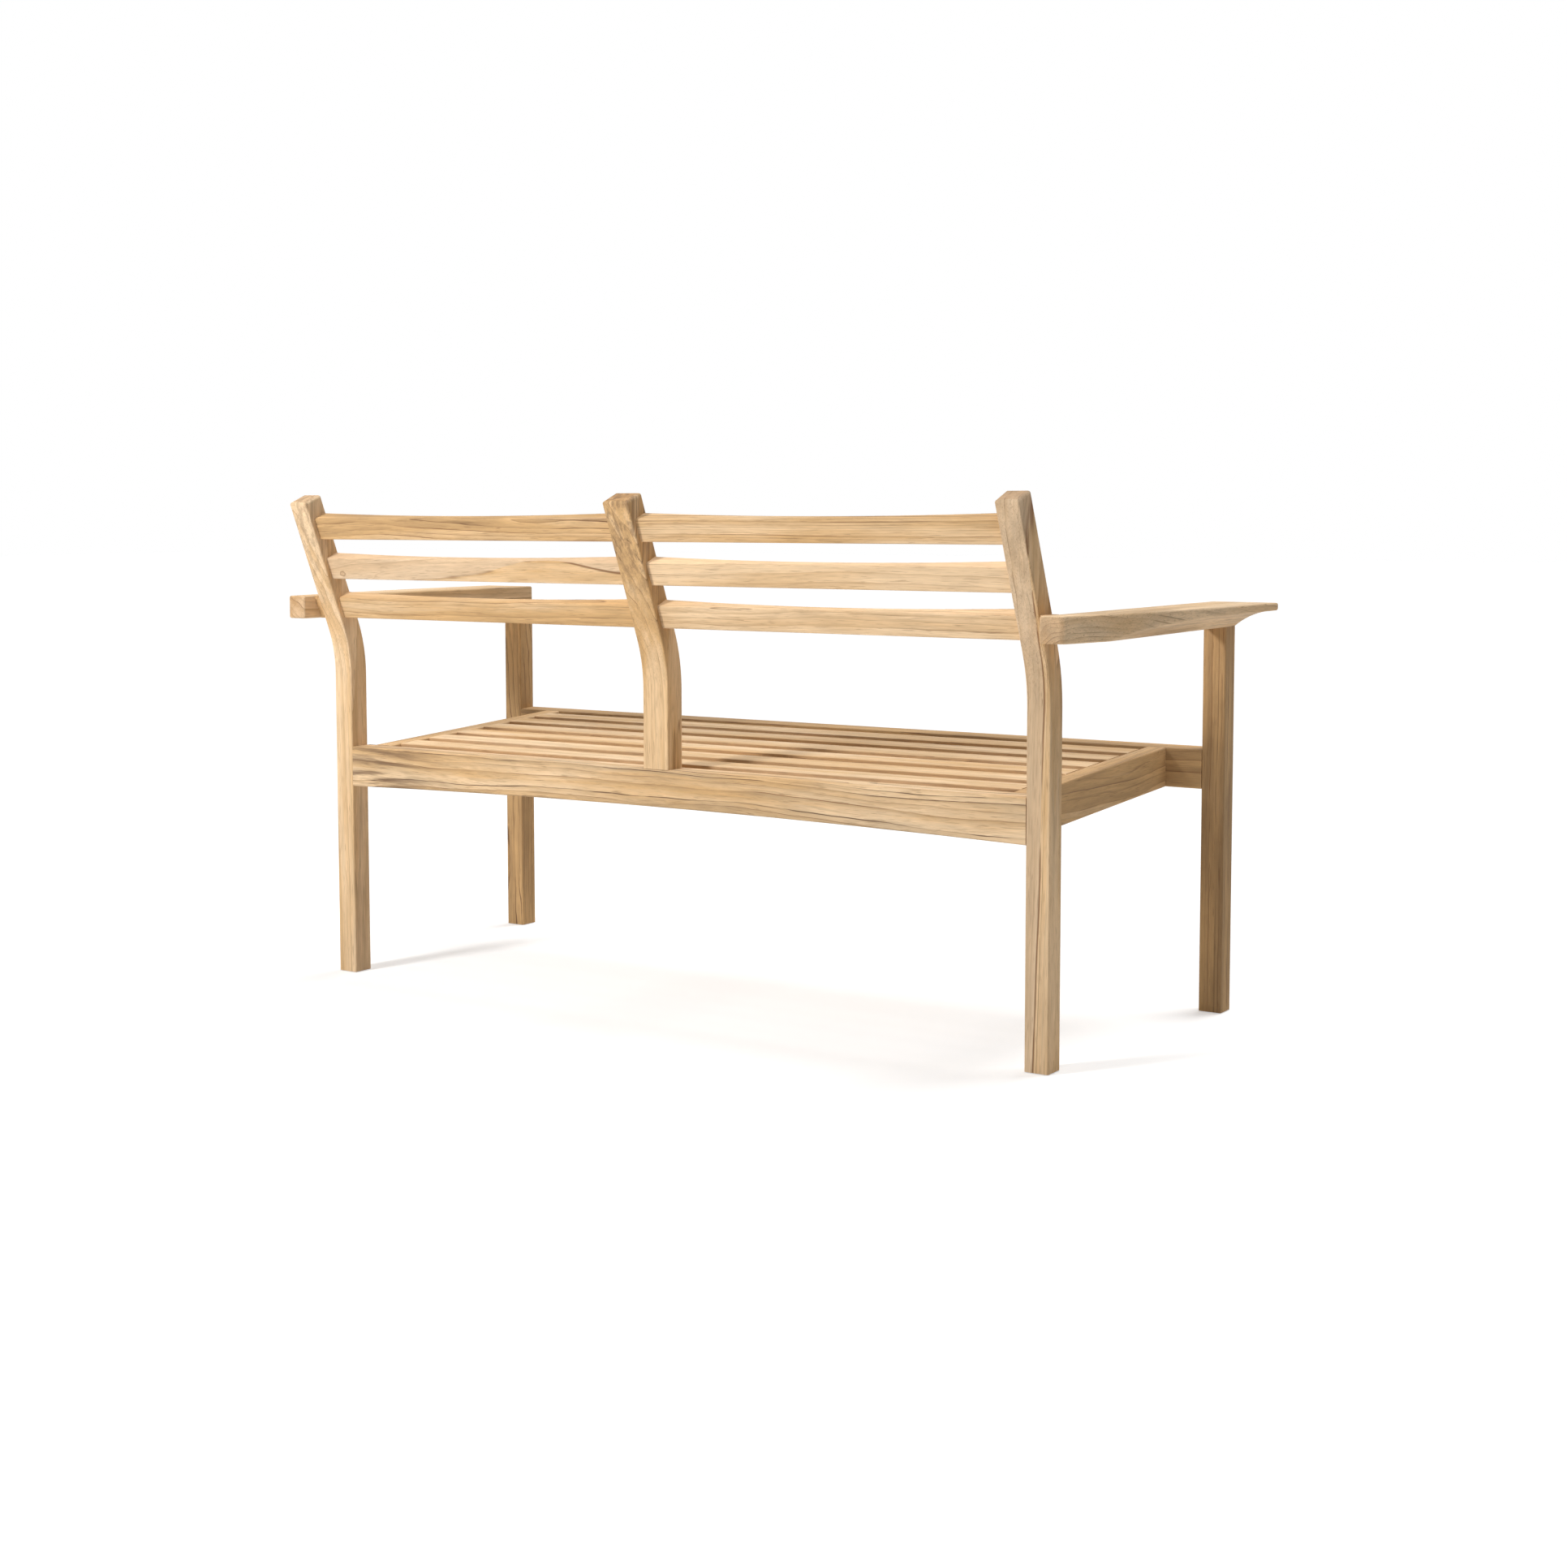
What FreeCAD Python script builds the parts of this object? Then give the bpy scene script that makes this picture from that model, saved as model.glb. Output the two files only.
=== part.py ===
import FreeCAD, Part
import os
import re
from collections import namedtuple

import Sketcher

# Outdoor lounge sofa: a two-seat hardwood frame with a slatted seat, a leaning slatted back and broad arms.
# Millimetres and degrees. +Z is up, +X is the sitter's left and the sofa faces -Y.
# The origin is on the floor under the middle of the sofa. Pieces on the left are drawn, and those on the
# right are their mirror images.

SEAT_SLATS = 6
BACK_SLATS = ("top", "middle", "bottom")
SAME_POINT = 0.01  # points closer than this are one

SIZES = {
    # Legs and the plan they stand on
    "leg_section": 35,
    "rear_span": 1260,
    "frame_depth": 502,
    # Leaning upper part of the rear legs and of the post between them
    "lean_angle": 22,
    "bend_height": 514.3,
    "bend_radius": 195,
    "back_length": 249,
    "head_round": 4.5,
    "head_side_round": 5.5,
    "post_width": 45,
    # Seat frame: its top rises to the front
    "seat_height": 362,
    "seat_slope": 3.15,
    "rear_rail_depth": 42,
    "rear_rail_height": 63,
    "rear_rail_arch": 8.4,
    "front_rail_height": 57.5,
    "side_rail_thickness": 30,
    "side_rail_height": 58,
    "side_rail_inset": 11.2,
    "bearer_width": 30,
    "bearer_height": 35,
    # Slats
    "seat_slat_width": 42,
    "seat_slat_thickness": 18,
    "back_slat_height": 35,
    "back_slat_thickness": 24.5,
    "back_slat_hollow": 12,
    "back_slat_pitch": 66.3,
    "back_slat_drop": 29.5,
    "back_slat_inset": 8,
    # Arms, each with a cove under its outer edge, and the spacers that hold them off the rear legs
    "arm_height": 600,
    "arm_thickness": 35,
    "arm_overhang": 27.5,
    "arm_rear_width": 35,
    "arm_front_width": 100,
    "arm_corner_round": 10,
    "cove_rise": 24,
    "cove_radius": 100,
    "cove_turn": 2.3,
    "spacer_thickness": 10,
    "spacer_inset": 2,
    # Mortise and tenon joints
    "joint_gap": 0.2,
    "tenon_length": 14,
    "tenon_thickness": 12,
    "tenon_shoulder": 8,
    "post_tenon_length": 20,
    "arm_tenon_length": 18,
    "slat_tenon_length": 12,
    "slat_tenon_thickness": 8,
    "slat_tenon_shoulder": 6,
    # Dowels, screws, foot glides and their nails
    "dowel_diameter": 8,
    "dowel_depth": 13,
    "dowel_spacing": 16,
    "screw_diameter": 4.5,
    "screw_head_diameter": 9,
    "screw_head_height": 3,
    "screw_recess": 5,
    "screw_bite": 10,
    "glide_diameter": 22,
    "glide_recess": 3,
    "glide_proud": 1,
    "nail_diameter": 2.4,
    "nail_length": 18,
    "nail_head_diameter": 6,
    "nail_head_height": 1.2,
    # Rounded edges
    "edge_round": 2.5,
    "slat_round": 2,
    "arm_round": 3,
}

PLACES = {
    # Across the sofa
    "rear_leg_outer": "rear_span / 2",
    "rear_leg_inner": "rear_leg_outer - leg_section",
    "arm_inner": "rear_leg_outer + spacer_thickness",
    "front_leg_outer": "arm_inner + leg_section",
    "side_rail_outer": "rear_leg_inner - side_rail_inset",
    "side_rail_inner": "side_rail_outer - side_rail_thickness",
    # Front to back: the heads of the rear legs reach furthest back
    "head_reach": "back_length * sin(lean_angle) + head_round * (1 - cos(lean_angle) - sin(lean_angle))",
    "front_face": "-(frame_depth + head_reach) / 2",
    "rear_face": "front_face + frame_depth",
    "rear_rail_front": "rear_face - rear_rail_depth",
    "front_rail_rear": "front_face + leg_section",
    # Seat plane, from the front edge of the rear rail to the rear edge of the front rail
    "seat_run": "rear_rail_front - front_rail_rear",
    "front_rail_top": "seat_height + seat_run * tan(seat_slope)",
    "seat_slat_gap": f"(seat_run / cos(seat_slope) - {SEAT_SLATS} * seat_slat_width) / {SEAT_SLATS + 1}",
    "bearer_drop": "seat_slat_thickness / cos(seat_slope)",
    "bearer_underside": "-seat_slat_thickness - bearer_height * cos(seat_slope)",
    # Bend of the rear legs and the post
    "bend_start": "bend_height - bend_radius * tan(lean_angle / 2)",
    "bend_end": "bend_start + bend_radius * sin(lean_angle)",
    "bend_centre": "rear_face + bend_radius",
    # Rear face of the legs at the height of the arm dowels: upright, on the bend or leaning
    "dowel_height": "arm_height - arm_thickness / 2",
    "dowel_rise": "min(max(dowel_height - bend_start; 0); bend_end - bend_start)",
    "bend_reach": "bend_radius - sqrt(bend_radius ^ 2 - dowel_rise ^ 2)",
    "leg_at_arm": "rear_face + bend_reach + max(dowel_height - bend_end; 0) * tan(lean_angle)",
    # Arms
    "arm_bottom": "arm_height - arm_thickness",
    "arm_rear": "leg_at_arm + arm_overhang",
    "arm_length": "arm_rear - front_face",
    "arm_flare": "arm_front_width - arm_rear_width",
    "arm_sweep": "(arm_length ^ 2 + arm_flare ^ 2) / (2 * arm_flare)",
    "cove_width": "sqrt(2 * cove_radius * cove_rise - cove_rise ^ 2)",
}

doc = FreeCAD.newDocument("LoungeSofa")


def make_sheet(name, cells):
    """Fill a sheet with one named cell for each entry."""
    sheet = doc.addObject("Spreadsheet::Sheet", name)
    for row, (alias, content) in enumerate(cells.items(), 1):
        sheet.set(f"A{row}", alias)
        sheet.set(f"B{row}", content)
        sheet.setAlias(f"B{row}", alias)
    doc.recompute()
    return sheet


def scoped(formula):
    """Point each size and place that a formula names at its cell."""
    def cell(word):
        name = word.group(0)
        if name in SIZES:
            return f"Sizes.{name}"
        if name in PLACES:
            return f"Places.{name}"
        return name
    return re.sub(r"[a-z_]+", cell, formula)


make_sheet("Sizes", {name: str(number) for name, number in SIZES.items()})
places = make_sheet("Places", {name: "=" + scoped(formula) for name, formula in PLACES.items()})


def value(formula):
    """Work a formula out as a plain number."""
    return float(places.evalExpression(scoped(formula)))


# Tilted frames: the leaning back and the sloping seat. Each starts on a line across the sofa and turns
# about it.
Frame = namedtuple("Frame", "y z tilt")
BACK = Frame("rear_face", "bend_height", "lean_angle")
SEAT = Frame("rear_rail_front", "seat_height", "seat_slope")


def from_frame(frame, y, z):
    """Turn a point of a tilted frame into the sofa's own Y and Z."""
    return (
        f"{frame.y} + ({y}) * cos({frame.tilt}) + ({z}) * sin({frame.tilt})",
        f"{frame.z} - ({y}) * sin({frame.tilt}) + ({z}) * cos({frame.tilt})",
    )


def place(piece, x="0", y="0", z="0", tilt=None):
    """Put a piece at a point and tilt it about the line across the sofa."""
    if tilt:
        turn = FreeCAD.Rotation(FreeCAD.Vector(-1, 0, 0), value(tilt))
        piece.Placement = FreeCAD.Placement(FreeCAD.Vector(), turn)
        piece.setExpression("Placement.Rotation.Angle", scoped(tilt))
    for axis, formula in zip("xyz", (x, y, z)):
        piece.setExpression(f"Placement.Base.{axis}", scoped(formula))


# Sketched outlines: loops of corners. A corner with a radius is reached along an arc whose centre lies to the
# left (side 1) or right (side -1) of the way there.
Corner = namedtuple("Corner", "x y radius side", defaults=(None, 0))
Circle = namedtuple("Circle", "x y diameter")


def rectangle(x_low, x_high, y_low, y_high):
    return [Corner(x_low, y_low), Corner(x_high, y_low), Corner(x_high, y_high), Corner(x_low, y_high)]


def arc_between(start, end, radius, side):
    """Make the shorter arc of a radius from start to end."""
    chord = end - start
    across = FreeCAD.Vector(-chord.y, chord.x, 0).normalize() * side
    rise = radius - max(radius ** 2 - chord.Length ** 2 / 4, 0) ** 0.5
    return Part.Arc(start, (start + end) / 2 - across * rise, end)


def end_at(sketch, edge, point):
    """Say which end of a sketch edge lies at a point."""
    return min((1, 2), key=lambda end: sketch.getPoint(edge, end).distanceToPoint(point))


def constrain(sketch, formula, kind, *parts):
    """Add a dimension that follows a formula."""
    index = sketch.addConstraint(Sketcher.Constraint(kind, *parts, value(formula)))
    sketch.setExpression(f"Constraints[{index}]", scoped(formula))


def draw_loop(sketch, corners):
    points = [FreeCAD.Vector(value(corner.x), value(corner.y), 0) for corner in corners]
    edges = []
    for start, end, corner in zip([points[-1]] + points, points, corners):
        if corner.radius:
            line = arc_between(start, end, value(corner.radius), corner.side)
        else:
            line = Part.LineSegment(start, end)
        edges.append(sketch.addGeometry(line))
    for edge, following, point, corner in zip(edges, edges[1:] + edges[:1], points, corners):
        end = end_at(sketch, edge, point)
        start = end_at(sketch, following, point)
        sketch.addConstraint(Sketcher.Constraint("Coincident", edge, end, following, start))
        constrain(sketch, corner.x, "DistanceX", -1, 1, edge, end)
        constrain(sketch, corner.y, "DistanceY", -1, 1, edge, end)
        if corner.radius:
            constrain(sketch, corner.radius, "Radius", edge)


def draw_circle(sketch, circle):
    centre = FreeCAD.Vector(value(circle.x), value(circle.y), 0)
    edge = sketch.addGeometry(Part.Circle(centre, FreeCAD.Vector(0, 0, 1), value(circle.diameter) / 2))
    constrain(sketch, circle.x, "DistanceX", -1, 1, edge, 3)
    constrain(sketch, circle.y, "DistanceY", -1, 1, edge, 3)
    constrain(sketch, circle.diameter, "Diameter", edge)


# The way a sketch faces on each plane, along the axis that is square to it.
FACING = {"XY_Plane": 1, "XZ_Plane": -1, "YZ_Plane": 1}


def turn_sketch(sketch, axis, angle, x, y):
    """Move a sketch in its plane and turn it about one of its own axes."""
    turn = FreeCAD.Rotation(FreeCAD.Vector(*axis), value(angle))
    sketch.AttachmentOffset = FreeCAD.Placement(sketch.AttachmentOffset.Base, turn)
    sketch.setExpression("AttachmentOffset.Base.x", scoped(x))
    sketch.setExpression("AttachmentOffset.Base.y", scoped(y))
    sketch.setExpression("AttachmentOffset.Rotation.Angle", scoped(angle))


def add_sketch(body, plane, level, loops, frame=None):
    """Draw loops on a plane that lies at a level along its own axis. A tilted frame turns a YZ sketch."""
    sketch = body.newObject("Sketcher::SketchObject", f"{body.Name}_sketch")
    origin_plane = next(item for item in body.Origin.OriginFeatures if item.Role == plane)
    sketch.AttachmentSupport = [(origin_plane, "")]
    sketch.MapMode = "FlatFace"
    if frame:
        turn_sketch(sketch, (0, 0, -1), frame.tilt, frame.y, frame.z)
    sketch.setExpression("AttachmentOffset.Base.z", scoped(f"({level}) * {FACING[plane]}"))
    for loop in loops:
        if isinstance(loop, Circle):
            draw_circle(sketch, loop)
        else:
            draw_loop(sketch, loop)
    return sketch


def grow(body, plane, level, length, towards, *loops):
    """Add stock from a level along the plane's axis, up it (1) or down it (-1)."""
    pad = body.newObject("PartDesign::Pad", f"{body.Name}_stock")
    pad.Profile = add_sketch(body, plane, level, loops)
    pad.Reversed = towards != FACING[plane]
    pad.setExpression("Length", scoped(length))
    doc.recompute()


def carve(body, sketch, depth, reverse):
    """Cut a sketch into a body and make sure that the cut meets the wood."""
    before = body.Shape.Volume
    pocket = body.newObject("PartDesign::Pocket", f"{body.Name}_cut")
    pocket.Profile = sketch
    pocket.Reversed = reverse
    pocket.setExpression("Length", scoped(depth))
    doc.recompute()
    if not body.Shape.Volume < before:
        raise RuntimeError(f"a cut in {body.Label} misses it")


def cut(body, plane, level, depth, towards, *loops, frame=None):
    """Cut loops into a body from a level along the plane's axis, up it (1) or down it (-1)."""
    carve(body, add_sketch(body, plane, level, loops, frame), depth, towards == FACING[plane])


def round_edges(body, radius, wanted):
    """Round the edges of a body that a test picks, and those that run on smoothly from them."""
    base = body.Tip
    names = [f"Edge{index}" for index, edge in enumerate(base.Shape.Edges, 1) if wanted(edge)]
    fillet = body.newObject("PartDesign::Fillet", f"{body.Name}_round")
    fillet.Base = (base, names)
    fillet.setExpression("Radius", scoped(radius))
    doc.recompute()


def round_long_edges(body, radius, shortest):
    round_edges(body, radius, lambda edge: edge.Length > value(shortest))


# A joint: the section of a tenon, the plane of its shoulder and the way it points. A tilted piece has its
# tenons in its own frame, and the piece that takes them has its mortises turned to that frame.
Joint = namedtuple("Joint", "plane level towards length section frame", defaults=(None,))


def add_tenon(body, joint):
    grow(body, joint.plane, joint.level, joint.length, joint.towards, rectangle(*joint.section))


def cut_mortise(body, joint):
    x_low, x_high, y_low, y_high = joint.section
    opening = rectangle(
        f"{x_low} - joint_gap", f"{x_high} + joint_gap", f"{y_low} - joint_gap", f"{y_high} + joint_gap"
    )
    depth = f"{joint.length} + joint_gap"
    cut(body, joint.plane, joint.level, depth, joint.towards, opening, frame=joint.frame)


def other_side(joint):
    """Give the same joint on the right of the sofa."""
    if joint.plane == "YZ_Plane":
        return joint._replace(level=f"-({joint.level})", towards=-joint.towards)
    x_low, x_high, y_low, y_high = joint.section
    return joint._replace(section=(f"-({x_high})", f"-({x_low})", y_low, y_high))


def about(centre, width):
    """Give the two limits of a width about a centre."""
    return f"{centre} - ({width}) / 2", f"{centre} + ({width}) / 2"


leg_middle = about("rear_face - leg_section / 2", "tenon_thickness")
RAIL_TO_REAR_LEG = Joint(
    "YZ_Plane", "rear_leg_inner", 1, "tenon_length",
    (*leg_middle, "seat_height - rear_rail_height + tenon_shoulder", "seat_height - tenon_shoulder"),
)
RAIL_TO_FRONT_LEG = Joint(
    "YZ_Plane", "arm_inner", 1, "tenon_length",
    (
        *about("front_face + leg_section / 2", "tenon_thickness"),
        "front_rail_top - front_rail_height + tenon_shoulder", "front_rail_top - tenon_shoulder",
    ),
)
POST_TO_RAIL = Joint(
    "XY_Plane", "seat_height", -1, "post_tenon_length",
    (*about("0", "post_width - 2 * tenon_shoulder"), *leg_middle),
)
LEG_TO_ARM = Joint(
    "XY_Plane", "arm_bottom", 1, "arm_tenon_length",
    (
        *about("arm_inner + leg_section / 2", "leg_section - 2 * tenon_shoulder"),
        *about("front_face + leg_section / 2", "leg_section - 2 * tenon_shoulder"),
    ),
)


def beam_joints(centre, rear_top, front_top, height):
    """Joints at the rear and front end of a beam that runs from the rear rail to the front rail."""
    across = about(centre, "tenon_thickness")
    rear = (*across, f"{rear_top} - {height} + tenon_shoulder", f"{rear_top} - tenon_shoulder")
    front = (*across, f"{front_top} - {height} + tenon_shoulder", f"{front_top} - tenon_shoulder")
    return (
        Joint("XZ_Plane", "rear_rail_front", 1, "tenon_length", rear),
        Joint("XZ_Plane", "front_rail_rear", -1, "tenon_length", front),
    )


SIDE_RAIL_JOINTS = beam_joints(
    "side_rail_outer - side_rail_thickness / 2", "seat_height", "front_rail_top", "side_rail_height"
)
BEARER_JOINTS = beam_joints("0", "seat_height - bearer_drop", "front_rail_top - bearer_drop", "bearer_height")


def seat_slat_middle(index):
    """Middle line of a seat slat in the seat's frame, counted from the rear."""
    return f"-(seat_slat_gap * {index + 1} + seat_slat_width * {index + 0.5})"


def seat_slat_joint(index):
    return Joint(
        "YZ_Plane", "side_rail_inner", 1, "slat_tenon_length",
        (
            *about(seat_slat_middle(index), "seat_slat_width - 2 * slat_tenon_shoulder"),
            *about("-seat_slat_thickness / 2", "slat_tenon_thickness"),
        ),
        SEAT,
    )


def back_slat_top(index):
    """Upper edge of a back slat in the back's frame, counted from the top."""
    return f"back_length - back_slat_drop - {index} * back_slat_pitch"


def back_slat_joints(index):
    """Joints of a back slat of the left bay with the rear leg and with the post."""
    top = back_slat_top(index)
    section = (
        *about("-back_slat_inset - back_slat_thickness / 2", "tenon_thickness"),
        f"{top} - back_slat_height + slat_tenon_shoulder", f"{top} - slat_tenon_shoulder",
    )
    return (
        Joint("YZ_Plane", "rear_leg_inner", 1, "slat_tenon_length", section, BACK),
        Joint("YZ_Plane", "post_width / 2", -1, "slat_tenon_length", section, BACK),
    )


nodes = []


def new_body(label, frame=None):
    body = doc.addObject("PartDesign::Body", label)
    if frame:
        place(body, y=frame.y, z=frame.z, tilt=frame.tilt)
    return body


def keep(piece):
    """Hand a finished piece in under its label."""
    nodes.append(piece)


def mirror(piece, label):
    """Make the right-hand image of a left-hand piece."""
    image = doc.addObject("Part::Mirroring", label)
    image.Source = piece
    image.Normal = FreeCAD.Vector(1, 0, 0)
    return image


def keep_pair(piece):
    keep(piece)
    keep(mirror(piece, piece.Label.replace("left", "right")))


def keep_group(label, pieces):
    """Hand equal fasteners in as one node of separate solids."""
    group = doc.addObject("Part::Compound", label)
    group.Links = pieces
    keep(group)


def on_bend(radius):
    """End of the bend on a line of a given radius about the bend's centre."""
    return f"bend_centre - ({radius}) * cos(lean_angle)", f"bend_start + ({radius}) * sin(lean_angle)"


def bent_outline(bottom, inset="0"):
    """Side view of a rear leg or the post, or of a strip set in from its faces, with its rounded head."""
    rear = f"-{inset}"
    front = f"{inset} - leg_section"
    rear_radius = f"bend_radius + {inset}"
    front_radius = f"bend_radius + leg_section - {inset}"
    return [
        Corner(f"rear_face + {front}", bottom),
        Corner(f"rear_face + {rear}", bottom),
        Corner(f"rear_face + {rear}", "bend_start"),
        Corner(*on_bend(rear_radius), rear_radius, -1),
        Corner(*from_frame(BACK, rear, "back_length - head_round")),
        Corner(*from_frame(BACK, f"{rear} - head_round", "back_length"), "head_round", 1),
        Corner(*from_frame(BACK, f"{front} + head_round", "back_length")),
        Corner(*from_frame(BACK, front, "back_length - head_round"), "head_round", 1),
        Corner(*on_bend(front_radius)),
        Corner(f"rear_face + {front}", "bend_start", front_radius, 1),
    ]


def round_head(body, right, left):
    """Round the head of a rear leg or the post along its right and left edges."""
    shoulder = "back_length - head_side_round"
    above = "back_length + head_side_round"
    loops = []
    for face, outwards in ((right, -1), (left, 1)):
        outside = f"{face} + {outwards} * head_side_round"
        inside = f"{face} - {outwards} * head_side_round"
        loops.append([
            Corner(face, shoulder),
            Corner(inside, "back_length", "head_side_round", outwards),
            Corner(inside, above),
            Corner(outside, above),
            Corner(outside, shoulder),
        ])
    sketch = add_sketch(body, "XZ_Plane", BACK.y, loops)
    turn_sketch(sketch, (-1, 0, 0), BACK.tilt, "0", BACK.z)
    carve(body, sketch, "2 * leg_section", True)


# Feet: a recess for the glide under each leg, and a hole for its nail
FEET = {
    "rear": ("rear_leg_outer - leg_section / 2", "rear_face - leg_section / 2"),
    "front": ("front_leg_outer - leg_section / 2", "front_face + leg_section / 2"),
}


def cut_foot(leg, foot):
    recess = Circle(*FEET[foot], "glide_diameter + 2 * joint_gap")
    cut(leg, "XY_Plane", "glide_proud", "glide_recess", 1, recess)
    nail_hole = Circle(*FEET[foot], "nail_diameter + 2 * joint_gap")
    cut(leg, "XY_Plane", "glide_proud", "nail_length + joint_gap", 1, nail_hole)


# Dowels through each spacer, side by side on the leg's middle line
DOWEL_CENTRES = about("leg_at_arm - leg_section / 2 / cos(lean_angle)", "dowel_spacing")
DOWEL_HOLES = [Circle(centre, "dowel_height", "dowel_diameter + 2 * joint_gap") for centre in DOWEL_CENTRES]


def make_rear_legs():
    leg = new_body("rear_leg_left")
    grow(leg, "YZ_Plane", "rear_leg_inner", "leg_section", 1, bent_outline("glide_proud"))
    round_long_edges(leg, "edge_round", "2 * leg_section")
    round_head(leg, "rear_leg_inner", "rear_leg_outer")
    cut_mortise(leg, RAIL_TO_REAR_LEG)
    for index in range(len(BACK_SLATS)):
        cut_mortise(leg, back_slat_joints(index)[0])
    cut(leg, "YZ_Plane", "rear_leg_outer", "dowel_depth + joint_gap", -1, *DOWEL_HOLES)
    cut_foot(leg, "rear")
    keep_pair(leg)


def make_front_legs():
    leg = new_body("front_leg_left")
    plan = rectangle("arm_inner", "front_leg_outer", "front_face", "front_face + leg_section")
    grow(leg, "XY_Plane", "glide_proud", "arm_bottom - glide_proud", 1, plan)
    round_long_edges(leg, "edge_round", "2 * leg_section")
    add_tenon(leg, LEG_TO_ARM)
    cut_mortise(leg, RAIL_TO_FRONT_LEG)
    cut_foot(leg, "front")
    keep_pair(leg)


def make_back_post():
    post = new_body("back_post")
    grow(post, "YZ_Plane", "-post_width / 2", "post_width", 1, bent_outline("seat_height"))
    round_long_edges(post, "edge_round", "2 * leg_section")
    round_head(post, "-post_width / 2", "post_width / 2")
    add_tenon(post, POST_TO_RAIL)
    for index in range(len(BACK_SLATS)):
        joint = back_slat_joints(index)[1]
        cut_mortise(post, joint)
        cut_mortise(post, other_side(joint))
    keep(post)


def make_rear_rail():
    rail = new_body("rear_rail")
    low = "seat_height - rear_rail_height"
    arch_radius = "(rear_leg_inner ^ 2 + rear_rail_arch ^ 2) / (2 * rear_rail_arch)"
    elevation = [
        Corner("rear_leg_inner", "seat_height"),
        Corner("-rear_leg_inner", "seat_height"),
        Corner("-rear_leg_inner", low),
        Corner("rear_leg_inner", low, arch_radius, -1),
    ]
    grow(rail, "XZ_Plane", "rear_face", "rear_rail_depth", -1, elevation)
    round_long_edges(rail, "edge_round", "rear_span / 2")
    add_tenon(rail, RAIL_TO_REAR_LEG)
    add_tenon(rail, other_side(RAIL_TO_REAR_LEG))
    cut_mortise(rail, POST_TO_RAIL)
    for joint in (SIDE_RAIL_JOINTS[0], other_side(SIDE_RAIL_JOINTS[0]), BEARER_JOINTS[0]):
        cut_mortise(rail, joint)
    keep(rail)


def make_front_rail():
    rail = new_body("front_rail")
    low = "front_rail_top - front_rail_height"
    section = [
        Corner("front_face", low),
        Corner("front_rail_rear", low),
        Corner("front_rail_rear", "front_rail_top"),
        Corner("front_face", "front_rail_top + leg_section * tan(seat_slope)"),
    ]
    grow(rail, "YZ_Plane", "-arm_inner", "2 * arm_inner", 1, section)
    round_long_edges(rail, "edge_round", "rear_span / 2")
    add_tenon(rail, RAIL_TO_FRONT_LEG)
    add_tenon(rail, other_side(RAIL_TO_FRONT_LEG))
    for joint in (SIDE_RAIL_JOINTS[1], other_side(SIDE_RAIL_JOINTS[1]), BEARER_JOINTS[1]):
        cut_mortise(rail, joint)
    keep(rail)


def beam_outline(drop, height):
    """Side view of a beam along the seat's slope, its top a drop below the seat plane."""
    return [
        Corner("rear_rail_front", f"seat_height - {drop}"),
        Corner("front_rail_rear", f"front_rail_top - {drop}"),
        Corner("front_rail_rear", f"front_rail_top - {drop} - {height}"),
        Corner("rear_rail_front", f"seat_height - {drop} - {height}"),
    ]


def make_side_rails():
    rail = new_body("side_rail_left")
    outline = beam_outline("0", "side_rail_height")
    grow(rail, "YZ_Plane", "side_rail_inner", "side_rail_thickness", 1, outline)
    round_long_edges(rail, "edge_round", "seat_run / 2")
    for joint in SIDE_RAIL_JOINTS:
        add_tenon(rail, joint)
    for index in range(SEAT_SLATS):
        cut_mortise(rail, seat_slat_joint(index))
    keep_pair(rail)


def seat_cylinder(name, diameter, y, z, height):
    """Make a round bar that stands square to the seat, on a point of the seat's frame."""
    cylinder = doc.addObject("Part::Cylinder", name)
    cylinder.setExpression("Radius", scoped(f"({diameter}) / 2"))
    cylinder.setExpression("Height", scoped(height))
    world_y, world_z = from_frame(SEAT, y, z)
    place(cylinder, y=world_y, z=world_z, tilt=SEAT.tilt)
    return cylinder


def make_seat_bearer():
    beam = new_body("bearer_blank")
    outline = beam_outline("bearer_drop", "bearer_height")
    grow(beam, "YZ_Plane", "-bearer_width / 2", "bearer_width", 1, outline)
    for joint in BEARER_JOINTS:
        add_tenon(beam, joint)
    holes = []
    below = "bearer_underside - screw_recess"
    shank = "screw_diameter + 2 * joint_gap"
    head = "screw_head_diameter + 2 * joint_gap"
    head_depth = "2 * screw_recess + screw_head_height"
    for index in range(SEAT_SLATS):
        middle = seat_slat_middle(index)
        holes.append(seat_cylinder(f"shank_hole_{index}", shank, middle, below, "2 * bearer_height"))
        holes.append(seat_cylinder(f"head_hole_{index}", head, middle, below, head_depth))
    drill = doc.addObject("Part::MultiFuse", "bearer_holes")
    drill.Shapes = holes
    bearer = doc.addObject("Part::Cut", "seat_bearer")
    bearer.Base = beam
    bearer.Tool = drill
    keep(bearer)


def make_seat_slats():
    for index in range(SEAT_SLATS):
        slat = new_body(f"seat_slat_{index + 1}", SEAT)
        middle = seat_slat_middle(index)
        section = rectangle(*about(middle, "seat_slat_width"), "-seat_slat_thickness", "0")
        grow(slat, "YZ_Plane", "-side_rail_inner", "2 * side_rail_inner", 1, section)
        round_long_edges(slat, "slat_round", "rear_span / 2")
        joint = seat_slat_joint(index)
        add_tenon(slat, joint)
        add_tenon(slat, other_side(joint))
        pilot = Circle("0", middle, "screw_diameter + 2 * joint_gap")
        cut(slat, "XY_Plane", "-seat_slat_thickness", "screw_bite + joint_gap", 1, pilot)
        keep(slat)


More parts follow.
